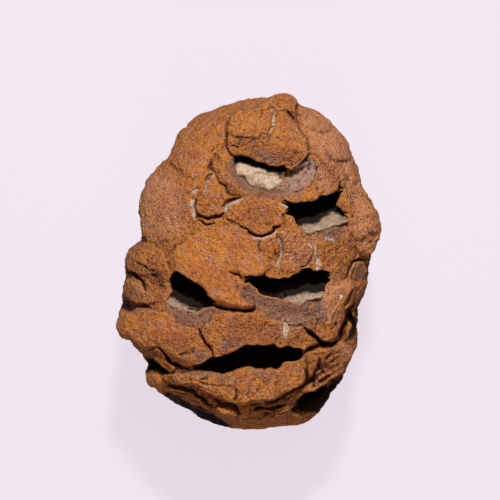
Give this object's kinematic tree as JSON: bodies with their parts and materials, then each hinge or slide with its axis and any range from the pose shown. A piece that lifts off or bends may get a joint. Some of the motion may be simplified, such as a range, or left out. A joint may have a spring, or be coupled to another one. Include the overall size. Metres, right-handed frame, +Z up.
{
  "type": "fossil conifer cone",
  "caption": "Small fossil conifer cone of fused woody scales, with lens-shaped seed sockets and pale sediment in some of them, lying on its back.",
  "frame": {"origin": "under the middle of the cone's box, on the surface that it lies on", "axes": "+Y along the cone from its stalk end to its tip, +Z up from the surface it lies on, +X to the right of someone who looks down on it"},
  "size_m": [0.0316, 0.0402, 0.027],
  "materials": {
    "ironstone": "matte",
    "sediment": "matte"
  },
  "bodies": {
    "root": {"fossil_cone": "ironstone", "sediment_upper_socket": "sediment", "sediment_right_socket": "sediment", "sediment_left_socket": "sediment", "sediment_middle_socket": "sediment", "sediment_seam": "sediment", "sediment_right_flank": "sediment", "sediment_left_flank": "sediment", "sediment_underside": "sediment"}
  },
  "joints": []
}
